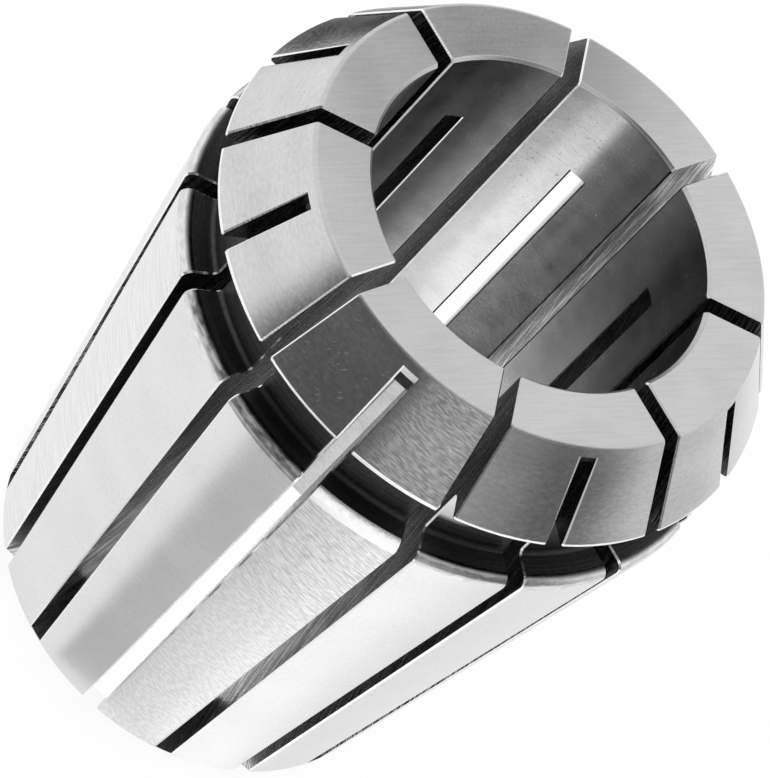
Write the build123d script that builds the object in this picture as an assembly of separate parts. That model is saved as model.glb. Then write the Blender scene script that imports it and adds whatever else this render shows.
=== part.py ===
from build123d import *

import os
from math import acos, cos, degrees, radians, sin, sqrt, tan

# A spring collet, turned and slotted from one piece of spring steel.
# Millimetres. The rear end, the small one, stands on the XY plane, the axis is Z,
# and the front face, where the shank goes in, is at the top.

# Overall form
collet_length = 40.0
rim_diameter = 33.0
bore_diameter = 20.0

# Long taper at the back, which seats in the holder
seat_half_angle = 8.0
rim_round = 0.6

# Short cone at the front, which the clamping nut presses on. It starts as wide as the rim
nose_half_angle = 30.0
nose_height = 5.4
nose_edge_round = 0.35
nose_lip_bevel = 0.15

# Groove between the two cones, where the nut's ring hooks in to draw the collet out
groove_depth = 1.9
groove_width = 3.6
groove_corner_bevel = 0.3

# Bevels at the bore's mouths and round the rear end
front_mouth_bevel = 0.2
rear_mouth_bevel = 0.5
rear_bevel = 1.2

# The most that the two rear bevels may take of the wall there
rear_bevel_share = 0.55
rear_mouth_share = 0.25

# Slots, sawn from both ends in turn round the collet
slots_per_end = 8
slot_width = 1.05
rear_slot_angle = 270.0

# The slitting saw works from outside, so each slot ends in an arc of its rim
saw_radius = 31.5
saw_overrun = 5.0
front_slot_web = 1.3
rear_slot_web = 0.7

# How far the cutting shapes stand past the metal
clear = 2.0

# Sizes that follow from those above
rim_radius = rim_diameter / 2
bore_radius = bore_diameter / 2
groove_radius = rim_radius - groove_depth
nose_base_z = collet_length - nose_height
groove_floor_z = nose_base_z - groove_width
seat_slope = tan(radians(seat_half_angle))
nose_slope = tan(radians(nose_half_angle))
slot_pitch = 360.0 / slots_per_end
front_slot_angle = rear_slot_angle + slot_pitch / 2
outer_reach = rim_radius + clear

# Where the long taper would meet the groove's lower wall if the rim weren't rounded
seat_lean = radians(seat_half_angle)
rim_corner_radius = rim_radius + rim_round * (cos(seat_lean) + (1 + sin(seat_lean)) * seat_slope - 1)


def seat_radius(z):
    """Radius of the long taper at height z."""
    return rim_corner_radius - (groove_floor_z - z) * seat_slope


def nose_radius(z):
    """Radius of the front cone at height z."""
    return rim_radius - (z - nose_base_z) * nose_slope


def corner(sketch, radius, z):
    """The corner of the turned outline that lies at this radius and height."""
    return sketch.vertices().sort_by_distance((radius, z))[0]


def turned_blank():
    """The collet as it leaves the lathe, with its bore and rounded edges and no slots."""
    outline = [
        (bore_radius, 0),
        (seat_radius(0), 0),
        (rim_corner_radius, groove_floor_z),
        (groove_radius, groove_floor_z),
        (groove_radius, nose_base_z),
        (rim_radius, nose_base_z),
        (nose_radius(collet_length), collet_length),
        (bore_radius, collet_length),
    ]
    rounds = [
        (rim_corner_radius, groove_floor_z, rim_round),
        (nose_radius(collet_length), collet_length, nose_edge_round),
    ]
    rear_wall = seat_radius(0) - bore_radius
    bevels = [
        (seat_radius(0), 0, min(rear_bevel, rear_bevel_share * rear_wall)),
        (groove_radius, groove_floor_z, groove_corner_bevel),
        (groove_radius, nose_base_z, groove_corner_bevel),
        (rim_radius, nose_base_z, nose_lip_bevel),
        (bore_radius, 0, min(rear_mouth_bevel, rear_mouth_share * rear_wall)),
        (bore_radius, collet_length, front_mouth_bevel),
    ]
    with BuildPart() as blank:
        with BuildSketch(Plane.XZ) as section:
            with BuildLine():
                Polyline(*outline, close=True)
            make_face()
            for radius, z, size in rounds:
                fillet(corner(section, radius, z), radius=size)
            for radius, z, size in bevels:
                chamfer(corner(section, radius, z), length=size)
        revolve(axis=Axis.Z)
    return blank.part


def saw_cut(end_radius, end_z, heading):
    """Metal that the saw takes out as it runs along the collet from one end.

    heading is -1 for a cut that runs down from the front face and +1 for one that runs up
    from the rear end. The saw's rim stops where it passes end_radius at height end_z.
    """
    saw_rim_radius = bore_radius - saw_overrun
    centre_radius = saw_rim_radius + saw_radius
    centre_z = end_z - heading * sqrt(saw_radius**2 - (centre_radius - end_radius) ** 2)
    start_z = collet_length + clear if heading < 0 else -clear
    arc_span = degrees(acos((centre_radius - outer_reach) / saw_radius))
    with BuildPart() as cut:
        with BuildSketch(Plane.XZ):
            with BuildLine():
                arc = CenterArc((centre_radius, centre_z), saw_radius, 180, -heading * arc_span)
                Polyline(
                    arc @ 1,
                    (outer_reach, start_z),
                    (saw_rim_radius, start_z),
                    arc @ 0,
                )
            make_face()
        extrude(amount=slot_width / 2, both=True)
    return cut.part


def collet():
    """The finished collet: the turned blank with both sets of slots."""
    front_end_z = front_slot_web
    rear_end_z = collet_length - rear_slot_web
    front_cut = saw_cut(seat_radius(front_end_z), front_end_z, -1)
    rear_cut = saw_cut(nose_radius(rear_end_z), rear_end_z, +1)
    with BuildPart() as part:
        add(turned_blank())
        with PolarLocations(0, slots_per_end, start_angle=front_slot_angle):
            add(front_cut, mode=Mode.SUBTRACT)
        with PolarLocations(0, slots_per_end, start_angle=rear_slot_angle):
            add(rear_cut, mode=Mode.SUBTRACT)
    return part.part


os.makedirs("parts", exist_ok=True)
export_step(collet(), "parts/collet.step")
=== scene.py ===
from collections import namedtuple
from math import asin, atan2, cos, dist, pi, radians, sin, sqrt, tan

import bpy
from mathutils import Matrix, Vector

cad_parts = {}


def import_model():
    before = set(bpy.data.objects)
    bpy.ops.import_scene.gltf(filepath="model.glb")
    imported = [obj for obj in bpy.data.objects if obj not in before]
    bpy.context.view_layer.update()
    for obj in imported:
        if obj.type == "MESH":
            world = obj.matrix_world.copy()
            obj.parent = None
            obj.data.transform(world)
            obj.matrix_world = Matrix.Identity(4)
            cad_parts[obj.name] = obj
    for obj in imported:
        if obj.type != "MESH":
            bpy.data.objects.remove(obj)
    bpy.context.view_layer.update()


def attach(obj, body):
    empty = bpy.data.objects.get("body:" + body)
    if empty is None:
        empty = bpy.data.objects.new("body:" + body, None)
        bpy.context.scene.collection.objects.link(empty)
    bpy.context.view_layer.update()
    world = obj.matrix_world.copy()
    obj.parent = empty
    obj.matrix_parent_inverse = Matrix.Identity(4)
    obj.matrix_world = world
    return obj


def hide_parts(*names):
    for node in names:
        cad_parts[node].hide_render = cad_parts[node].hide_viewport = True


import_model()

# One millimetre and one thousandth of it, in the metres that the scene is built in
MM = 0.001
MICRON = 0.000001

# The collet's sizes in millimetres. The rear end stands at z = 0 and the axis is Z
LENGTH = 40.0
RIM_RADIUS = 16.5
BORE_RADIUS = 10.0
SEAT_HALF_ANGLE = radians(8.0)
NOSE_HALF_ANGLE = radians(30.0)
NOSE_HEIGHT = 5.4
GROOVE_WIDTH = 3.6
GROOVE_DEPTH = 1.9
REAR_BEVEL = 1.2
REAR_MOUTH_BEVEL = 0.5
FRONT_MOUTH_BEVEL = 0.2

# Rounds of the turned outline's corners, in millimetres
RIM_ROUND = 0.6
GROOVE_ROUND = 0.3
LIP_ROUND = 0.25
NOSE_EDGE_ROUND = 0.3
SMALL_ROUND = 0.05

# Slots, eight from each end in turn. They count up round the axis from 1, and those with odd
# numbers are sawn from the front face. The last is in the middle of the photograph
SLOTS = 16
SLOT_PITCH = 2 * pi / SLOTS
SLOT_WIDTH = 1.05
MIDDLE_SLOT = SLOTS
OPPOSITE_SLOT = SLOTS // 2
MIDDLE_SLOT_ANGLE = radians(270.0)

# The saw that cut them, and the metal that it left outside their ends
SAW_RADIUS = 31.5
SAW_OVERRUN = 5.0
FRONT_SLOT_WEB = 1.3
REAR_SLOT_WEB = 0.85

# Broken edge along every slot, and at the outer end of the slots from the rear
EDGE_BREAK = 0.09
END_BREAK = 0.3

# How finely the mesh is divided
SEGMENT_COLUMNS = 12
ROUND_STEP = radians(9.0)
RUN_OUT_STEPS = 8

# Radius at which the surface map is true round the axis, and the stretch of it that a slot's walls have
MAP_RADIUS = 14.0
WALL_STEP = 80.0

# Heights, radii and offsets from a slot's middle plane that follow
NOSE_BASE_Z = LENGTH - NOSE_HEIGHT
GROOVE_FLOOR_Z = NOSE_BASE_Z - GROOVE_WIDTH
GROOVE_RADIUS = RIM_RADIUS - GROOVE_DEPTH
RIM_CORNER_RADIUS = RIM_RADIUS + RIM_ROUND * (
    cos(SEAT_HALF_ANGLE) + (1 + sin(SEAT_HALF_ANGLE)) * tan(SEAT_HALF_ANGLE) - 1)
SAW_CENTRE_RADIUS = BORE_RADIUS - SAW_OVERRUN + SAW_RADIUS
WALL_OFFSET = SLOT_WIDTH / 2 - EDGE_BREAK / 2
EDGE_OFFSET = WALL_OFFSET + EDGE_BREAK


def seat_radius(z):
    """Radius of the long taper at height z."""
    return RIM_CORNER_RADIUS - (GROOVE_FLOOR_Z - z) * tan(SEAT_HALF_ANGLE)


def nose_radius(z):
    """Radius of the front cone at height z."""
    return RIM_RADIUS - (z - NOSE_BASE_Z) * tan(NOSE_HALF_ANGLE)


def slot_angle(slot):
    """Angle of a slot's middle plane round the axis."""
    return MIDDLE_SLOT_ANGLE + slot * SLOT_PITCH


class RunOut:
    """The arc that the saw leaves in a slot's end, which it passes at end_radius and end_z.

    heading is -1 for a saw that came down from the front face and 1 for one that came up.
    """

    def __init__(self, end_radius, end_z, heading):
        self.heading = heading
        self.centre_z = end_z - heading * self.reach(end_radius)

    def reach(self, radius):
        """Distance along the axis from the saw's centre to its rim, at a radius from the axis."""
        return sqrt(SAW_RADIUS**2 - (SAW_CENTRE_RADIUS - radius) ** 2)

    def height(self, radius):
        """Height of the arc at a radius from the axis."""
        return self.centre_z + self.heading * self.reach(radius)

    def lean(self, radius):
        """Angle of the arc's normal above the horizontal, at a radius from the axis."""
        return atan2(self.centre_z - self.height(radius), SAW_CENTRE_RADIUS - radius)


# Where each kind of slot ends, as radius and height: on the outside, and at the bore
FRONT_END = (seat_radius(FRONT_SLOT_WEB), FRONT_SLOT_WEB)
REAR_END = (nose_radius(LENGTH - REAR_SLOT_WEB), LENGTH - REAR_SLOT_WEB)
REAR_BREAK_END = (nose_radius(REAR_END[1] + END_BREAK), REAR_END[1] + END_BREAK)
FRONT_RUN_OUT = RunOut(*FRONT_END, -1)
REAR_RUN_OUT = RunOut(*REAR_END, 1)
FRONT_BORE_END = (BORE_RADIUS, FRONT_RUN_OUT.height(BORE_RADIUS))
REAR_BORE_END = (BORE_RADIUS, REAR_RUN_OUT.height(BORE_RADIUS))

# A place on the turned outline. The lean is its normal's angle above the horizontal, outwards,
# and the zone is that of the span that follows
Station = namedtuple("Station", "radius z lean zone")


def turned_outline():
    """Stations round the collet's section.

    They run from the rear mouth out along the rear face, up the outside, in along the front face
    and down the bore.
    """
    taper_foot = (seat_radius(0) + REAR_BEVEL * sin(SEAT_HALF_ANGLE), REAR_BEVEL * cos(SEAT_HALF_ANGLE))
    corners = [
        # radius, height, round, zone of the round, zone of the span that follows
        (BORE_RADIUS + REAR_MOUTH_BEVEL, 0, SMALL_ROUND, "rear", "rear"),
        (seat_radius(0) - REAR_BEVEL, 0, SMALL_ROUND, "rear", "rear"),
        (*taper_foot, SMALL_ROUND, "taper", "taper"),
        (*FRONT_END, 0, None, "taper"),
        (RIM_CORNER_RADIUS, GROOVE_FLOOR_Z, RIM_ROUND, "rim", "groove"),
        (GROOVE_RADIUS, GROOVE_FLOOR_Z, GROOVE_ROUND, "groove", "groove"),
        (GROOVE_RADIUS, NOSE_BASE_Z, GROOVE_ROUND, "groove", "groove"),
        (RIM_RADIUS, NOSE_BASE_Z, LIP_ROUND, "lip", "cone"),
        (*REAR_BREAK_END, 0, None, "cone"),
        (nose_radius(LENGTH), LENGTH, NOSE_EDGE_ROUND, "face", "face"),
        (BORE_RADIUS + FRONT_MOUTH_BEVEL, LENGTH, SMALL_ROUND, "mouth", "mouth"),
        (BORE_RADIUS, LENGTH - FRONT_MOUTH_BEVEL, SMALL_ROUND, "bore", "bore"),
        (*REAR_BORE_END, 0, None, "bore"),
        (*FRONT_BORE_END, 0, None, "bore"),
        (BORE_RADIUS, REAR_MOUTH_BEVEL, SMALL_ROUND, "rear", "rear"),
    ]
    stations = []
    for i, (radius, z, size, round_zone, zone) in enumerate(corners):
        before = Vector(corners[i - 1][:2])
        here = Vector((radius, z))
        after = Vector(corners[(i + 1) % len(corners)][:2])
        come = (here - before).normalized()
        leave = (after - here).normalized()
        lean = atan2(-come.x, come.y)
        turn = come.angle_signed(leave) * -1
        if size == 0:
            stations.append(Station(radius, z, lean, zone))
            continue
        reach = size if turn > 0 else -size
        start = here - come * (size * tan(abs(turn) / 2))
        centre = start - Vector((cos(lean), sin(lean))) * reach
        steps = max(2, round(abs(turn) / ROUND_STEP))
        for k in range(steps + 1):
            swing = lean + turn * k / steps
            point = centre + Vector((cos(swing), sin(swing))) * reach
            stations.append(Station(point.x, point.y, swing, zone if k == steps else round_zone))
    return stations


class MeshPieces:
    """Points and faces of a mesh. A face's corner is a point, its normal there and its place on the map.

    The map is in millimetres: along the surface round the axis, and along the turned outline.
    """

    def __init__(self):
        self.points = []
        self.known = {}
        self.faces = []
        self.normals = []
        self.places = []
        self.zones = []

    def point(self, key, radius, angle, z):
        """Index of the point with this key, made when it is first asked for."""
        if key not in self.known:
            self.known[key] = len(self.points)
            self.points.append((radius * cos(angle) * MM, radius * sin(angle) * MM, z * MM))
        return self.known[key]

    def face(self, corners, zone):
        """Adds a face with these corners, anticlockwise as seen from outside."""
        self.faces.append([index for index, _, _ in corners])
        self.normals.extend(normal for _, normal, _ in corners)
        self.places.extend(place for _, _, place in corners)
        self.zones.append(zone)

    def make_object(self, name, zone_materials):
        """A mesh object with these faces. zone_materials gives each zone its material."""
        mesh = bpy.data.meshes.new(name)
        mesh.from_pydata(self.points, [], self.faces)
        order = list(dict.fromkeys(zone_materials.values()))
        for material in order:
            mesh.materials.append(material)
        for polygon, zone in zip(mesh.polygons, self.zones):
            polygon.use_smooth = True
            polygon.material_index = order.index(zone_materials[zone])
        surface_map = mesh.uv_layers.new(name="surface")
        for entry, place in zip(surface_map.data, self.places):
            entry.uv = place
        mesh.normals_split_custom_set(self.normals)
        return put_in_scene(name, mesh)


def put_in_scene(name, data):
    """A new object in the scene, with this mesh or camera."""
    made = bpy.data.objects.new(name, data)
    bpy.context.scene.collection.objects.link(made)
    return made


def leaning(lean, angle):
    """Unit vector at an angle round the axis that leans up by lean."""
    return (cos(lean) * cos(angle), cos(lean) * sin(angle), sin(lean))


# Wear has left the rounds of rim and lip nearly flat on the finger after the middle slot.
# Their normals keep this share of their lean
WORN_ROUNDS = {"rim": 0.25, "lip": 0.3}

# A slot has two sides: 1 at its larger angle round the axis, and -1 at its smaller one.
# The broken edge beside a wall takes this share of the wall's direction, on each side
EDGE_LEAN = {1: 0.35, -1: 0.5}

# Slots with a bright burr on the edge of side -1 in the bore. The middle slot's is on the outside,
# along the surfaces named here
BORE_BURR_SLOTS = (9, 10, 11, 12)
OUTER_BURR_SURFACES = ("cone", "lip", "groove")

# A burr turns the edge's direction up towards the front, and leaves it this share of the wall's
BURR_TURN = radians(65.0)
BURR_LEAN = 0.25


def edge_zone(surface, slot, side):
    """Zone of the broken edge that one side of a slot has along a surface."""
    if surface == "face" and side == 1:
        return "face"
    if surface in OUTER_BURR_SURFACES and slot == MIDDLE_SLOT and side == -1:
        return "burred_edge"
    if surface != "bore" or (slot == OPPOSITE_SLOT and side == -1):
        return "edge"
    # The other edges in the bore are painted black as shade, but for the burred ones
    return "burred_edge" if slot in BORE_BURR_SLOTS and side == -1 else "shaded_edge"


def wall_facing(slot, side):
    """Direction in which the wall on one side of a slot faces."""
    angle = slot_angle(slot)
    return (side * sin(angle), -side * cos(angle), 0.0)


def wall_place(slot, side, radius, z):
    """Place on the map of a point on a slot's wall. Each slot has a stretch, and each side half of it."""
    return (slot + (0.5 if side > 0 else 0.0)) * WALL_STEP + radius, z


class SlotEnd:
    """The end of the slots that are sawn from one side: the saw's run-out, and the web left behind it.

    The web spans the outline from one station to another. The run-out leads from the second of them
    back to the first, along points that each hold a radius, a height and the lean of the normal.
    """

    def __init__(self, stations, web_start, web_end, run_out, break_radius=None):
        """The web's ends are places on the outline. break_radius is where a broken edge starts."""
        self.web_start = self.station_at(stations, web_start)
        self.web_end = self.station_at(stations, web_end)
        first = web_end[0]
        last = web_start[0] if break_radius is None else break_radius
        self.line = []
        for step in range(RUN_OUT_STEPS + 1):
            radius = first + step / RUN_OUT_STEPS * (last - first)
            self.line.append((radius, run_out.height(radius), run_out.lean(radius)))
        if break_radius is not None:
            rise = web_start[1] - self.line[-1][1]
            self.line.append((*web_start, atan2(last - web_start[0], rise)))

    @staticmethod
    def station_at(stations, place):
        """Index of the station that lies at this radius and height."""
        return min(range(len(stations)), key=lambda i: dist(stations[i][:2], place))


class ColletMesh(MeshPieces):
    """The whole collet: segments between slots, webs behind the slots' ends, run-outs and walls."""

    def __init__(self):
        super().__init__()
        self.stations = turned_outline()
        self.count = len(self.stations)
        self.run = [0.0]
        for here, after in zip(self.stations, self.stations[1:] + self.stations[:1]):
            self.run.append(self.run[-1] + dist(here[:2], after[:2]))
        break_radius = REAR_END[0] - END_BREAK
        rear = SlotEnd(self.stations, REAR_BREAK_END, REAR_BORE_END, REAR_RUN_OUT, break_radius)
        front = SlotEnd(self.stations, FRONT_BORE_END, FRONT_END, FRONT_RUN_OUT)
        for slot in range(1, SLOTS + 1):
            end = front if slot % 2 else rear
            self.add_segment(slot)
            self.add_web(slot, end)
            self.add_run_out(slot, end)
            for side in (1, -1):
                self.add_edges(slot, side, end)
                self.add_wall(slot, side, end)

    def turned(self, k, key, angle, wear=1.0):
        """Corner on station k, which may be one past the last, at an angle round the axis."""
        station = self.stations[k % self.count]
        index = self.point((k % self.count, *key), station.radius, angle, station.z)
        return index, leaning(station.lean * wear, angle), (angle * MAP_RADIUS, self.run[k])

    def by_slot(self, k, slot, offset, wear=1.0):
        """Corner on station k, at an offset from a slot's middle plane."""
        angle = slot_angle(slot) + asin(offset / self.stations[k % self.count].radius)
        return self.turned(k, (slot % SLOTS, round(offset, 4)), angle, wear)

    def in_segment(self, k, slot, column, wear):
        """Corner on station k in the segment that follows a slot, from column 0 to SEGMENT_COLUMNS."""
        if column == 0:
            return self.by_slot(k, slot, EDGE_OFFSET, wear)
        if column == SEGMENT_COLUMNS:
            return self.by_slot(k, slot + 1, -EDGE_OFFSET, wear)
        margin = asin(EDGE_OFFSET / self.stations[k % self.count].radius)
        share = column / SEGMENT_COLUMNS
        angle = slot_angle(slot) + margin + share * (SLOT_PITCH - 2 * margin)
        return self.turned(k, (slot % SLOTS, "column", column), angle, wear)

    def add_segment(self, slot):
        """The turned surfaces of the finger that follows a slot."""
        for k, station in enumerate(self.stations):
            wear = WORN_ROUNDS.get(station.zone, 1.0) if slot == MIDDLE_SLOT else 1.0
            for column in range(SEGMENT_COLUMNS):
                self.face([
                    self.in_segment(k, slot, column, wear),
                    self.in_segment(k, slot, column + 1, wear),
                    self.in_segment(k + 1, slot, column + 1, wear),
                    self.in_segment(k + 1, slot, column, wear),
                ], station.zone)

    def add_web(self, slot, end):
        """The turned surfaces of the web behind a slot's end."""
        offsets = [-EDGE_OFFSET, -WALL_OFFSET, 0.0, WALL_OFFSET, EDGE_OFFSET]
        for i in range((end.web_end - end.web_start) % self.count):
            k = (end.web_start + i) % self.count
            for left, right in zip(offsets, offsets[1:]):
                self.face([
                    self.by_slot(k, slot, left),
                    self.by_slot(k, slot, right),
                    self.by_slot(k + 1, slot, right),
                    self.by_slot(k + 1, slot, left),
                ], self.stations[k].zone)

    def on_run_out(self, slot, end, step, offset, lean=None):
        """Corner on the run-out, at a step along its line and an offset from the slot's middle plane."""
        radius, z, own_lean = end.line[step]
        if step == 0:
            index = self.by_slot(end.web_end, slot, offset)[0]
        elif step == len(end.line) - 1:
            index = self.by_slot(end.web_start, slot, offset)[0]
        else:
            angle = slot_angle(slot) + asin(offset / radius)
            index = self.point(("floor", slot, step, round(offset, 4)), radius, angle, z)
        return index, leaning(own_lean if lean is None else lean, slot_angle(slot)), (offset, radius)

    def add_run_out(self, slot, end):
        """The floor that the saw leaves in a slot's end, and the broken edge past it."""
        for step in range(len(end.line) - 1):
            broken = step >= RUN_OUT_STEPS
            lean = end.line[-1][2] if broken else None
            for left, right in ((-WALL_OFFSET, 0.0), (0.0, WALL_OFFSET)):
                self.face([
                    self.on_run_out(slot, end, step, left, lean),
                    self.on_run_out(slot, end, step, right, lean),
                    self.on_run_out(slot, end, step + 1, right, lean),
                    self.on_run_out(slot, end, step + 1, left, lean),
                ], "edge" if broken else "run_out")

    def open_stations(self, end):
        """The stations that the slot cuts through, from one end of its web round to the other."""
        return [(end.web_end + i) % self.count
                for i in range((end.web_start - end.web_end) % self.count + 1)]

    def on_wall(self, slot, side, end, k):
        """Corner on a wall's rim at station k, set in from the surface by the broken edge."""
        radius, z, lean, _ = self.stations[k]
        if k in (end.web_end, end.web_start):
            index = self.by_slot(k, slot, side * WALL_OFFSET)[0]
        else:
            radius -= EDGE_BREAK * cos(lean)
            z -= EDGE_BREAK * sin(lean)
            angle = slot_angle(slot) + side * asin(WALL_OFFSET / radius)
            index = self.point((k, slot, "wall", side), radius, angle, z)
        return index, wall_facing(slot, side), wall_place(slot, side, radius, z)

    def edge_direction(self, slot, side, k, after, burred):
        """Direction of the broken edge between two stations, from those of surface and wall."""
        angle = slot_angle(slot) + side * asin(EDGE_OFFSET / self.stations[k].radius)
        outwards = Vector(leaning(self.stations[k].lean, angle))
        outwards += Vector(leaning(self.stations[after].lean, angle))
        outwards.normalize()
        lean = BURR_LEAN if burred else EDGE_LEAN[side]
        direction = outwards.lerp(Vector(wall_facing(slot, side)), lean).normalized()
        if burred:
            direction = direction * cos(BURR_TURN) + Vector((0, 0, sin(BURR_TURN)))
        return tuple(direction)

    def add_edges(self, slot, side, end):
        """The broken edge along one side of a slot."""
        stations = self.open_stations(end)
        for k, after in zip(stations, stations[1:]):
            near, _, near_place = self.by_slot(k, slot, side * EDGE_OFFSET)
            far, _, far_place = self.by_slot(after, slot, side * EDGE_OFFSET)
            far_wall, _, _ = self.on_wall(slot, side, end, after)
            near_wall, _, _ = self.on_wall(slot, side, end, k)
            zone = edge_zone(self.stations[k].zone, slot, side)
            direction = self.edge_direction(slot, side, k, after, zone == "burred_edge")
            corners = [
                (near, direction, near_place),
                (far, direction, far_place),
                (far_wall, direction, far_place),
                (near_wall, direction, near_place),
            ]
            self.face(corners[::side], zone)

    def add_wall(self, slot, side, end):
        """The wall on one side of a slot, as one flat face."""
        rim = [self.on_wall(slot, side, end, k) for k in self.open_stations(end)]
        for step in range(len(end.line) - 2, 0, -1):
            radius, z, _ = end.line[step]
            index, _, _ = self.on_run_out(slot, end, step, side * WALL_OFFSET)
            rim.append((index, wall_facing(slot, side), wall_place(slot, side, radius, z)))
        self.face(rim[::side], "wall")


# Turn of the stretched gloss, as a share of a full turn, where grinding runs round the axis
GLOSS_TURN = 0.25


class Nodes:
    """A material's node tree, with short ways to add and join nodes."""

    def __init__(self, name):
        self.material = bpy.data.materials.new(name)
        self.material.use_nodes = True
        self.tree = self.material.node_tree
        self.tree.nodes.clear()
        self.output = self.add("ShaderNodeOutputMaterial")

    def add(self, kind, inputs=None, **settings):
        """Adds a node. inputs gives sockets, by name or number, a value or another node's output."""
        node = self.tree.nodes.new(kind)
        for key, value in settings.items():
            setattr(node, key, value)
        for key, value in (inputs or {}).items():
            if isinstance(value, bpy.types.NodeSocket):
                self.tree.links.new(value, node.inputs[key])
            else:
                node.inputs[key].default_value = value
        return node

    def math(self, operation, first, second=0.0, third=0.0):
        """One step of arithmetic, on numbers or other nodes' outputs."""
        node = self.add("ShaderNodeMath", {0: first, 1: second, 2: third}, operation=operation)
        return node.outputs[0]

    def both(self, first, second):
        """How far two masks hold together."""
        return self.math("MULTIPLY", first, second)

    def either(self, first, second):
        """How far the stronger of two masks holds."""
        return self.math("MAXIMUM", first, second)

    def mix(self, mask, first, second):
        """First where the mask is 0 and second where it is 1."""
        return self.math("MULTIPLY_ADD", mask, self.math("SUBTRACT", second, first), first)

    def total(self, start, *parts):
        """Start plus the sum of amounts times values."""
        for amount, value in parts:
            start = self.math("MULTIPLY_ADD", value, amount, start)
        return start

    def remap(self, value, low, high, to_low=0.0, to_high=1.0, smooth=False):
        """Value moved from the range low to high onto the range to_low to to_high, and held there."""
        node = self.add("ShaderNodeMapRange", {0: value, 1: low, 2: high, 3: to_low, 4: to_high})
        node.interpolation_type = "SMOOTHSTEP" if smooth else "LINEAR"
        return node.outputs[0]

    def place(self):
        """Place on the surface map, in millimetres: round the axis and along the outline."""
        return self.add("ShaderNodeTexCoord").outputs["UV"]

    def height(self):
        """Height of the point above the collet's rear end, in millimetres."""
        where = self.add("ShaderNodeTexCoord").outputs["Object"]
        return self.math("MULTIPLY", self.add("ShaderNodeSeparateXYZ", {0: where}).outputs[2], 1 / MM)

    def span(self, low, high, soft_low, soft_high=None):
        """Mask between two places round the axis on the map, fading over the soft stretches."""
        across = self.add("ShaderNodeSeparateXYZ", {0: self.place()}).outputs[0]
        soft_high = soft_low if soft_high is None else soft_high
        rise = self.remap(across, low - soft_low / 2, low + soft_low / 2, smooth=True)
        fall = self.remap(across, high + soft_high / 2, high - soft_high / 2, smooth=True)
        return self.both(rise, fall)

    def turns(self, first, last, soft_first, soft_last=None):
        """Mask between two angles round the axis, in degrees from the middle slot.

        They run from 22.5, at slot 1, up to 382.5, so the finger after the middle slot starts at 360.
        The soft stretches are in millimetres on the map.
        """
        low, high = ((MIDDLE_SLOT_ANGLE + radians(angle)) * MAP_RADIUS for angle in (first, last))
        return self.span(low, high, soft_first, soft_last)

    def walls_of(self, slot):
        """Mask of one slot's walls."""
        return self.span(slot * WALL_STEP, (slot + 1) * WALL_STEP, 1.0)

    def mottle(self, length, width, detail=1.0, turn=0.0, low=0.32, high=0.68):
        """Marks of about this length round the axis and this width along the outline, from 0 to 1."""
        turned = self.add("ShaderNodeMapping", {
            "Vector": self.place(),
            "Rotation": (0.0, 0.0, turn),
        }, vector_type="POINT")
        stretch = self.add("ShaderNodeMapping", {
            "Vector": turned.outputs[0],
            "Scale": (1 / length, 1 / width, 1.0),
        }, vector_type="POINT")
        noise = self.add("ShaderNodeTexNoise", {
            "Vector": stretch.outputs[0],
            "Scale": 1.0,
            "Detail": detail,
        })
        return self.remap(noise.outputs[0], low, high)

    def straight(self, length, width, turn):
        """Straight marks across a flat face, from 0 to 1, with their size in millimetres."""
        turned = self.add("ShaderNodeMapping", {
            "Vector": self.add("ShaderNodeTexCoord").outputs["Object"],
            "Rotation": (0.0, 0.0, -turn),
        }, vector_type="POINT")
        stretch = self.add("ShaderNodeMapping", {
            "Vector": turned.outputs[0],
            "Scale": (1 / (length * MM), 1 / (width * MM), 1.0),
        }, vector_type="POINT")
        noise = self.add("ShaderNodeTexNoise", {
            "Vector": stretch.outputs[0],
            "Scale": 1.0,
            "Detail": 1.0,
        })
        return self.remap(noise.outputs[0], 0.32, 0.68)

    def surface(self, shader):
        """The finished material, with this shader node as its surface."""
        self.tree.links.new(shader.outputs[0], self.output.inputs[0])
        return self.material

    def steel(self, colour, roughness, height, depth, anisotropic=0.0, metallic=1.0):
        """Joins colour, roughness and relief into one metal. depth is the relief's, in microns."""
        bump = self.add("ShaderNodeBump", {
            "Strength": 1.0,
            "Distance": depth * MICRON,
            "Height": height,
        })
        tangent = self.add("ShaderNodeTangent", direction_type="RADIAL", axis="Z")
        return self.surface(self.add("ShaderNodeBsdfPrincipled", {
            "Base Color": colour,
            "Metallic": metallic,
            "Roughness": roughness,
            "Anisotropic": anisotropic,
            "Anisotropic Rotation": GLOSS_TURN,
            "Normal": bump.outputs[0],
            "Tangent": tangent.outputs[0],
        }))


# How far the deep scratches and the specks lean from the way round
TAPER_SCRATCH_TURN = radians(22.0)
CONE_SCRATCH_TURN = radians(10.0)
SPECK_TURN = radians(-50.0)


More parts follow.
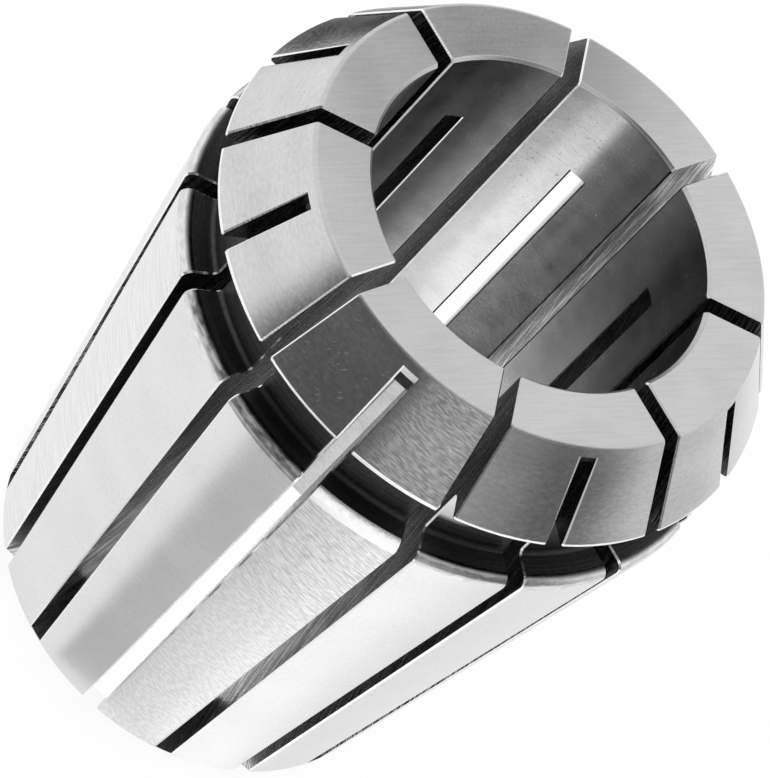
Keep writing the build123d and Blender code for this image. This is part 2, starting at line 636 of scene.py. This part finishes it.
def taper_steel():
    """Ground round the axis, with deep scratches near the groove on the finger after the middle slot."""
    nodes = Nodes("taper_steel")
    fine = nodes.mottle(1.0, 0.1)
    grain = nodes.mottle(0.22, 0.16)
    waves = nodes.mottle(1.6, 0.7)
    clouds = nodes.mottle(6.0, 4.0)
    worn = nodes.turns(361.5, 383.0, 1.5)
    scratches = nodes.both(
        nodes.remap(nodes.height(), 14.0, 26.0, smooth=True),
        nodes.mottle(1.0, 0.12, turn=TAPER_SCRATCH_TURN, low=0.42, high=0.62))
    pebbles = nodes.mottle(0.38, 0.2, turn=TAPER_SCRATCH_TURN, low=0.38, high=0.62)
    marks = nodes.both(
        nodes.turns(294.0, 314.0, 1.5),
        nodes.mottle(2.2, 0.22, low=0.4, high=0.6))
    colour = nodes.total(0.69, (0.04, fine), (0.04, grain), (0.05, clouds), (0.09, marks))
    colour = nodes.total(colour, (worn, nodes.total(0.07, (-0.2, scratches), (-0.12, pebbles))))
    roughness = nodes.total(0.2, (0.06, fine), (0.05, clouds))
    height = nodes.total(0.0, (0.2, fine), (0.15, grain), (0.5, waves), (1.0, marks))
    height = nodes.total(height, (worn, nodes.total(0.0, (2.0, scratches), (1.2, pebbles))))
    return nodes.steel(colour, roughness, height, 4.0, anisotropic=0.6)


def cone_steel():
    """Ground round the axis more coarsely than the taper, with specks before the middle slot.

    The finger after that slot has short deep scratches.
    """
    nodes = Nodes("cone_steel")
    fine = nodes.mottle(0.75, 0.12)
    grain = nodes.mottle(0.3, 0.22)
    waves = nodes.mottle(1.2, 0.7)
    clouds = nodes.mottle(5.0, 3.0)
    specks = nodes.both(
        nodes.turns(338.0, 360.0, 0.5),
        nodes.mottle(0.5, 0.14, turn=SPECK_TURN, low=0.68, high=0.72))
    scratched = nodes.turns(364.0, 383.0, 1.2)
    scratches = nodes.mottle(0.55, 0.12, detail=2.0, turn=CONE_SCRATCH_TURN, low=0.38, high=0.66)
    colour = nodes.total(0.54, (0.05, fine), (0.06, grain), (0.08, clouds), (0.25, specks))
    colour = nodes.total(colour, (scratched, nodes.total(-0.18, (0.38, scratches))))
    roughness = nodes.total(0.16, (0.05, grain), (0.04, clouds))
    height = nodes.total(0.0, (0.2, fine), (0.2, grain), (0.35, waves))
    height = nodes.total(height, (scratched, nodes.total(0.0, (1.0, scratches))))
    return nodes.steel(colour, roughness, height, 4.0, anisotropic=0.3)


# Direction in which the front face is ground, from the X axis
FACE_GRAIN = radians(53.0)


def face_steel():
    """Ground flat in one direction, very even."""
    nodes = Nodes("face_steel")
    lines = nodes.straight(2.5, 0.16, FACE_GRAIN)
    grain = nodes.mottle(0.2, 0.2)
    clouds = nodes.mottle(5.0, 5.0)
    colour = nodes.total(0.51, (0.05, lines), (0.03, grain), (0.06, clouds))
    roughness = nodes.total(0.3, (0.05, grain), (0.05, clouds))
    return nodes.steel(colour, roughness, nodes.total(0.0, (0.7, lines), (0.3, grain)), 1.2)


def edge_steel(name, ragged):
    """Rubbed bright. Where it is ragged, the middle slot has a dark burr in pieces on its side 1."""
    nodes = Nodes(name)
    grain = nodes.mottle(0.25, 0.12)
    clouds = nodes.mottle(1.5, 1.0)
    colour = nodes.total(0.85, (0.08, grain), (0.07, clouds))
    if ragged:
        height = nodes.height()
        pieces = nodes.both(
            nodes.mottle(6.0, 2.0, low=0.42, high=0.58),
            nodes.remap(height, 9.0, 15.0))
        pieces = nodes.either(pieces, nodes.remap(height, 24.0, 25.0))
        burr = nodes.turns(361.0, 364.0, 0.05)
        colour = nodes.total(colour, (burr, nodes.total(-0.2, (-0.55, pieces))))
    roughness = nodes.total(0.15, (0.1, grain))
    return nodes.steel(colour, roughness, grain, 2.0)


def shaded_edge_steel():
    """The edges in the bore, painted black as the shade inside it."""
    nodes = Nodes("shaded_edge_steel")
    grain = nodes.mottle(0.25, 0.6)
    # Painted shade: near-black colour
    return nodes.steel(nodes.total(0.02, (0.06, grain)), 0.4, grain, 2.0)


def burred_edge_steel():
    """The edges that are drawn to a fine burr, white from rubbing."""
    nodes = Nodes("burred_edge_steel")
    grain = nodes.mottle(0.25, 1.5)
    return nodes.steel(nodes.total(0.8, (0.2, grain)), 0.25, grain, 2.0)


def rim_steel():
    """The taper's rounded rim, with painted shade: a mottled dark band along its top by the groove on the
    two fingers before the middle slot, a darker finger just before that slot and a near-black line at the
    groove's edge. A painted highlight makes it white on the finger after the middle slot.
    """
    nodes = Nodes("rim_steel")
    grain = nodes.mottle(0.3, 0.16)
    blots = nodes.mottle(0.8, 0.35, detail=2.0, low=0.38, high=0.6)
    height = nodes.height()
    # Painted shade: near the groove the colour falls to near black
    outer = nodes.remap(height, GROOVE_FLOOR_Z - 0.02, GROOVE_FLOOR_Z - 0.14)
    # Painted highlight: full white colour on the finger after the middle slot
    painted_light = nodes.turns(361.0, 383.0, 0.6)
    # Painted shade on the finger before the middle slot
    shaded = nodes.turns(338.0, 361.0, 0.5)
    # Painted shade: a mottled dark band along the rim's top on the two fingers before the middle slot
    shaded_band = nodes.both(
        nodes.turns(314.0, 361.0, 1.0),
        nodes.remap(height, GROOVE_FLOOR_Z - 0.42, GROOVE_FLOOR_Z - 0.22))
    shaded_band_colour = nodes.total(0.16, (0.1, grain), (0.5, blots))
    plain = nodes.total(0.75, (0.1, grain), (-0.15, blots), (-0.35, shaded))
    colour = nodes.mix(shaded_band, plain, shaded_band_colour)
    colour = nodes.math("MULTIPLY", colour, nodes.remap(outer, 0.0, 1.0, 0.06, 1.0))
    colour = nodes.mix(painted_light, colour, 1.0)
    roughness = nodes.total(0.22, (0.1, grain), (0.25, shaded_band))
    return nodes.steel(colour, roughness, nodes.total(0.0, (0.5, grain), (1.0, blots)), 3.0)


def groove_steel():
    """Turned, with the tool's rings, and painted near black as the shade in the groove, but for a bright
    corner by slot 1.
    """
    nodes = Nodes("groove_steel")
    rings = nodes.mottle(20.0, 0.12)
    grain = nodes.mottle(0.3, 0.12)
    corner = nodes.both(nodes.turns(23.5, 31.0, 0.05, 1.0), nodes.remap(nodes.height(), 32.3, 32.7))
    # Painted shade: the groove's colour is kept near black, but for the bright corner
    colour = nodes.total(0.04, (0.025, rings), (0.025, grain), (0.85, corner))
    roughness = nodes.total(0.4, (0.1, rings))
    return nodes.steel(colour, roughness, rings, 2.0, anisotropic=0.5)


def bore_steel():
    """Honed round the axis, with painted light and shade by finger and depth: brightest on the finger
    opposite the middle slot.
    """
    nodes = Nodes("bore_steel")
    fine = nodes.mottle(0.7, 0.12)
    grain = nodes.mottle(0.25, 0.18)
    clouds = nodes.mottle(2.5, 1.5, detail=2.0)
    height = nodes.height()
    pits = nodes.both(
        nodes.mottle(0.22, 0.18, low=0.66, high=0.7),
        nodes.remap(height, 24.0, 32.0))
    # Painted light: the colour is raised on the finger opposite the middle slot, on the finger after the
    # middle slot and on the near side from slot 1 to about 75 degrees
    far_side = nodes.turns(180.5, 212.0, 1.2, 4.4)
    near_side = nodes.either(nodes.turns(364.0, 383.0, 1.0), nodes.turns(22.0, 75.0, 1.0, 3.0))
    painted_light = nodes.either(far_side, near_side)
    # Painted shade beside the opposite finger and deep in the bore on the finger before it; painted light
    # deep in the bore on the finger before that
    painted_shade_beside = nodes.turns(213.0, 248.0, 2.0, 1.0)
    painted_shade_deep = nodes.both(
        nodes.turns(158.0, 179.5, 0.8),
        nodes.math("MINIMUM", nodes.remap(height, 27.0, 19.0), nodes.remap(height, 15.5, 17.5)))
    painted_light_deep = nodes.both(
        nodes.turns(134.0, 157.0, 3.0, 0.8),
        nodes.remap(height, 34.0, 22.0, smooth=True))
    colour = nodes.total(0.32, (0.05, fine), (0.04, grain), (0.08, clouds), (0.4, painted_light))
    colour = nodes.total(colour, (-0.2, painted_shade_beside), (-0.24, painted_shade_deep), (0.56, painted_light_deep))
    colour = nodes.total(colour, (far_side, nodes.total(0.0, (-0.35, pits), (0.06, clouds))))
    roughness = nodes.total(0.2, (0.04, grain), (0.04, clouds))
    height = nodes.total(0.0, (0.6, fine), (0.4, grain))
    return nodes.steel(colour, roughness, height, 1.5, anisotropic=0.3)


# The saw's marks on a slot's walls, in millimetres, and how fast they bend over with its height
MARK_WIDTH = 0.13
MARK_LENGTH = 4.0
MARK_BEND = 3.5
MARK_POWER = 0.4

# Slots from the front with walls unlike the others': one painted blacker as shade, one with bare streaks
SHADED_WALL_SLOT = 9
STREAKED_SLOT = 7


def sawn_steel():
    """Slot walls with the saw's curved marks, painted black as the shade in the slots, and painted
    lighter low down.

    The walls of slots from the front are painted lighter for most of the taper, the others' only at the
    rear end. Those of the middle slot and of the one opposite are painted light all over.
    """
    nodes = Nodes("sawn_steel")
    across, up, _ = nodes.add("ShaderNodeSeparateXYZ", {0: nodes.place()}).outputs
    bend = nodes.math("POWER", nodes.math("MAXIMUM", up, 0.01), MARK_POWER)
    arc = nodes.math("MULTIPLY_ADD", bend, MARK_BEND, across)
    lines = nodes.add("ShaderNodeCombineXYZ", {
        0: nodes.math("DIVIDE", arc, MARK_WIDTH),
        1: nodes.math("DIVIDE", up, MARK_LENGTH),
    })
    noise = nodes.add("ShaderNodeTexNoise", {"Vector": lines.outputs[0], "Scale": 1.0, "Detail": 1.0})
    marks = nodes.remap(noise.outputs[0], 0.44, 0.6)
    grain = nodes.mottle(0.2, 0.2)
    clouds = nodes.mottle(1.2, 2.5, low=0.4, high=0.6)
    patches = nodes.mottle(0.7, 5.0, detail=2.0, low=0.45, high=0.6)

    from_front = nodes.math("GREATER_THAN", nodes.math("MODULO", across, 2 * WALL_STEP), WALL_STEP)
    # Painted shade: one slot's walls are painted blacker and less metallic
    shaded_walls = nodes.walls_of(SHADED_WALL_SLOT)
    low_down = nodes.both(
        nodes.math("SUBTRACT", from_front, shaded_walls),
        nodes.remap(up, 31.0, 9.0, smooth=True))
    at_end = nodes.remap(up, 2.4, 1.2, smooth=True)
    streaked = nodes.both(
        nodes.walls_of(STREAKED_SLOT),
        nodes.either(patches, nodes.remap(up, 35.0, 38.0)))
    # This mask marks where the walls are painted lighter, as lit bare steel: low on the front slots, at
    # the rear end and in one slot's streaks
    painted_light = nodes.either(nodes.either(low_down, at_end), streaked)
    bare = nodes.total(0.03, (0.85, marks), (0.2, clouds), (0.1, grain))
    # Painted shade: the near-black colour of the walls outside that mask
    dark = nodes.total(0.04, (0.03, marks), (0.03, clouds))
    dark = nodes.total(dark, (from_front, nodes.math("MULTIPLY", marks, 0.2)))
    dark = nodes.total(dark, (0.1, nodes.remap(up, 30.0, 24.0, smooth=True)))
    dark = nodes.math("MULTIPLY", dark, nodes.remap(shaded_walls, 0.0, 1.0, 1.0, 0.15))
    colour = nodes.mix(painted_light, dark, bare)
    # The walls of the middle slot and of the one opposite are painted light grey all over
    in_line = nodes.math("ADD", nodes.walls_of(OPPOSITE_SLOT), nodes.walls_of(MIDDLE_SLOT))
    colour = nodes.mix(in_line, colour, 0.92)
    roughness = nodes.total(0.25, (0.15, grain))
    height = nodes.total(0.0, (0.8, marks), (0.2, grain))
    metallic = nodes.remap(shaded_walls, 0.0, 1.0, 1.0, 0.2)
    return nodes.steel(colour, roughness, height, 8.0, metallic=metallic)


def run_out_steel():
    """The slots' ends, painted matt black as the shade deep in them."""
    nodes = Nodes("run_out_steel")
    marks = nodes.mottle(0.15, 1.0)
    # Painted shade: near-black colour
    colour = nodes.total(0.01, (0.02, marks))
    return nodes.steel(colour, 0.7, marks, 3.0, metallic=0.3)


def rear_steel():
    """The rear end and the bevels at the bore's mouths, turned."""
    nodes = Nodes("rear_steel")
    rings = nodes.mottle(15.0, 0.1)
    grain = nodes.mottle(0.2, 0.12)
    colour = nodes.total(0.5, (0.08, rings), (0.08, grain))
    roughness = nodes.total(0.25, (0.1, rings))
    return nodes.steel(colour, roughness, rings, 2.0, anisotropic=0.5)


def collet():
    """The dressed collet, in place of the plain one."""
    rear = rear_steel()
    materials = {
        "face": face_steel(),
        "cone": cone_steel(),
        "lip": edge_steel("lip_steel", ragged=False),
        "rim": rim_steel(),
        "edge": edge_steel("edge_steel", ragged=True),
        "shaded_edge": shaded_edge_steel(),
        "burred_edge": burred_edge_steel(),
        "groove": groove_steel(),
        "taper": taper_steel(),
        "rear": rear,
        "mouth": rear,
        "bore": bore_steel(),
        "wall": sawn_steel(),
        "run_out": run_out_steel(),
    }
    piece = ColletMesh().make_object("collet_body", materials)
    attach(piece, "root")
    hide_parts("collet")


# The photograph's frame and the camera that fits the collet's corners in it
FRAME_WIDTH = 770
FRAME_HEIGHT = 778
FOCAL_PIXELS = 7066.0
CAMERA_AIM = (0.174, 1.231, 21.15)
CAMERA_DISTANCE = 381.7
CAMERA_AZIMUTH = radians(-92.196)
CAMERA_ELEVATION = radians(47.088)
CAMERA_ROLL = radians(-44.126)


def camera():
    """The camera at the photograph's angle, rolled so that the collet's axis points up and right."""
    data = bpy.data.cameras.new("camera")
    data.sensor_fit = "AUTO"
    data.sensor_width = 36.0
    data.lens = FOCAL_PIXELS * data.sensor_width / max(FRAME_WIDTH, FRAME_HEIGHT)
    data.clip_start = 0.01
    data.clip_end = 100.0
    back = Vector((
        cos(CAMERA_ELEVATION) * cos(CAMERA_AZIMUTH),
        cos(CAMERA_ELEVATION) * sin(CAMERA_AZIMUTH),
        sin(CAMERA_ELEVATION),
    ))
    right = Vector((0, 0, 1)).cross(back).normalized()
    level = Matrix((right, back.cross(right), back)).transposed()
    turn = level @ Matrix.Rotation(-CAMERA_ROLL, 3, "Z")
    place = (Vector(CAMERA_AIM) + CAMERA_DISTANCE * back) * MM
    eye = put_in_scene("camera", data)
    eye.matrix_world = Matrix.Translation(place) @ turn.to_4x4()
    bpy.context.scene.camera = eye


# The floor's reach in metres, and the radius in millimetres of its opening below the bore
FLOOR_REACH = 3.0
FLOOR_OPENING = 10.4
FLOOR_COLUMNS = 96

# Colours of the floor's own glow and of its paint
FLOOR_GLOW = (0.9, 0.9, 0.9, 1.0)
FLOOR_PAINT = (0.12, 0.12, 0.12, 1.0)


def world():
    """White all round."""
    made = bpy.data.worlds.new("studio")
    made.use_nodes = True
    made.node_tree.nodes["Background"].inputs[0].default_value = (1, 1, 1, 1)
    made.node_tree.nodes["Background"].inputs[1].default_value = 1.0
    bpy.context.scene.world = made


def floor_white():
    """White by its own glow, with paint that takes a faint shadow."""
    nodes = Nodes("floor")
    glow = nodes.add("ShaderNodeEmission", {"Color": FLOOR_GLOW, "Strength": 1.0})
    matt = nodes.add("ShaderNodeBsdfDiffuse", {"Color": FLOOR_PAINT})
    return nodes.surface(nodes.add("ShaderNodeAddShader", {0: glow.outputs[0], 1: matt.outputs[0]}))


def floor():
    """A plain floor, open below the bore so that light comes up there."""
    points = []
    for reach in (FLOOR_OPENING * MM, FLOOR_REACH):
        for i in range(FLOOR_COLUMNS):
            angle = 2 * pi * i / FLOOR_COLUMNS
            points.append((reach * cos(angle), reach * sin(angle), 0.0))
    faces = []
    for i in range(FLOOR_COLUMNS):
        after = (i + 1) % FLOOR_COLUMNS
        faces.append((i, FLOOR_COLUMNS + i, FLOOR_COLUMNS + after, after))
    mesh = bpy.data.meshes.new("floor")
    mesh.from_pydata(points, [], faces)
    mesh.materials.append(floor_white())
    plane = put_in_scene("floor", mesh)


# The photograph's side of the collet faces -Y. The studio's cards take their angles from there
PHOTO_SIDE = radians(-90.0)
CARD_STEP = radians(3.0)


def curved_sheet(name, span, rows, centre):
    """A sheet that curves round the axis. Its map runs from 0 to 1 along it, and from 0 to 1 up it."""
    first, last = span
    columns = max(2, round(radians(last - first) / CARD_STEP))
    points = []
    for reach, height in rows:
        for i in range(columns + 1):
            angle = PHOTO_SIDE + radians(first + (last - first) * i / columns)
            x = centre[0] + reach * cos(angle)
            y = centre[1] + reach * sin(angle)
            points.append((x * MM, y * MM, height * MM))
    faces = [(i, i + 1, columns + 2 + i, columns + 1 + i) for i in range(columns)]
    mesh = bpy.data.meshes.new(name)
    mesh.from_pydata(points, [], faces)
    layer = mesh.uv_layers.new(name="span")
    for loop, entry in zip(mesh.loops, layer.data):
        row, column = divmod(loop.vertex_index, columns + 1)
        entry.uv = (column / columns, row)
    return mesh


def card_glow(name, span, fades, shades):
    """Glow that changes along a card by its shades, and fades out towards its edges."""
    first, last = span
    fade_first, fade_last, fade_rows = fades
    nodes = Nodes(name)
    across, up, _ = nodes.add("ShaderNodeSeparateXYZ", {0: nodes.place()}).outputs
    ramp = nodes.add("ShaderNodeValToRGB", {0: across})
    ramp.color_ramp.interpolation = "EASE"
    stops = ramp.color_ramp.elements
    while len(stops) < len(shades):
        stops.new(0.5)
    for stop, (angle, shade) in zip(stops, shades):
        stop.position = (angle - first) / (last - first)
        stop.color = (shade, shade, shade, 1.0)
    along = nodes.both(
        nodes.remap(across, 0.0, fade_first / (last - first), smooth=True),
        nodes.remap(across, 1.0, 1.0 - fade_last / (last - first), smooth=True))
    upwards = nodes.both(
        nodes.remap(up, 0.0, fade_rows, smooth=True),
        nodes.remap(up, 1.0, 1.0 - fade_rows, smooth=True))
    glow = nodes.add("ShaderNodeEmission", {"Color": ramp.outputs[0]})
    clear = nodes.add("ShaderNodeBsdfTransparent")
    return nodes.surface(nodes.add("ShaderNodeMixShader", {
        0: nodes.both(along, upwards),
        1: clear.outputs[0],
        2: glow.outputs[0],
    }))


def card(name, span, rows, fades, shades, centre=(0.0, 0.0)):
    """A curved card in the studio, seen only in the collet's gloss.

    span is its first and last angle round the axis, in degrees from the photograph's side. rows are
    its lower and upper edge, as distance from the axis and height in millimetres. fades are the degrees
    over which it fades out at its first and at its last angle, and the share of its height over which it
    does at its lower and upper edge. shades gives its brightness at angles within its span. centre moves
    it off the axis.
    """
    mesh = curved_sheet(name, span, rows, centre)
    made = put_in_scene(name, mesh)
    for ray in ("camera", "diffuse", "transmission", "volume_scatter", "shadow"):
        setattr(made, "visible_" + ray, False)
    mesh.materials.append(card_glow(name, span, fades, shades))


# The cards that lie on the floor by the collet are centred this far from the axis
NEAR_FLOOR_CENTRE = (0.0, -6.0)


def studio():
    """White room and floor, with grey cards that give the steel its dark and light bands."""
    world()
    floor()
    card("operator", (-52, 12), ((160.0, 4.0), (90.0, 320.0)), (14, 7, 0.03),
         [(-52, 0.115), (12, 0.115)])
    card("horizon", (2, 98), ((160.0, 4.0), (150.0, 200.0)), (1, 3, 0.05),
         [(2, 0.4), (12, 0.42), (31, 0.5), (50, 0.3), (67, 0.14), (79, 0.2), (98, 0.6)])
    card("floor_front", (-31, 73), ((7.5, 0.3), (54.0, 0.3)), (7, 2, 0.01),
         [(-31, 0.56), (-5, 0.58), (9.5, 0.8), (14.5, 0.88), (25, 0.95), (37, 1.14), (52, 1.24),
          (62, 1.24), (73, 1.16)],
         centre=NEAR_FLOOR_CENTRE)
    card("floor_right", (71, 150), ((10.7, 0.3), (54.0, 0.3)), (1, 15, 0.01),
         [(71, 1.17), (78, 1.06), (86, 0.96), (120, 0.98), (150, 0.75)],
         centre=NEAR_FLOOR_CENTRE)
    card("floor_far", (92, 150), ((70.0, 0.3), (500.0, 0.3)), (6, 6, 0.1),
         [(92, 0.7), (150, 0.85)])
    card("floor_back", (-164, -128), ((50.0, 0.3), (112.0, 0.3)), (6, 8, 0.2),
         [(-164, 0.04), (-128, 0.04)])
    card("back", (-190, -134), ((36.0, 50.0), (18.0, 68.0)), (23, 22, 0.44),
         [(-190, 0.27), (-134, 0.27)])
    card("below", (-175, 185), ((45.0, -4.0), (45.0, -130.0)), (1, 1, 0.01),
         [(-175, 1.75), (-132, 1.7), (-103, 1.2), (-60, 0.7), (-13, 1.45), (41, 0.5), (77, 0.25),
          (120, 0.2), (174, 0.25)])


camera()
studio()
collet()

bpy.context.scene.view_settings.view_transform = "Standard"
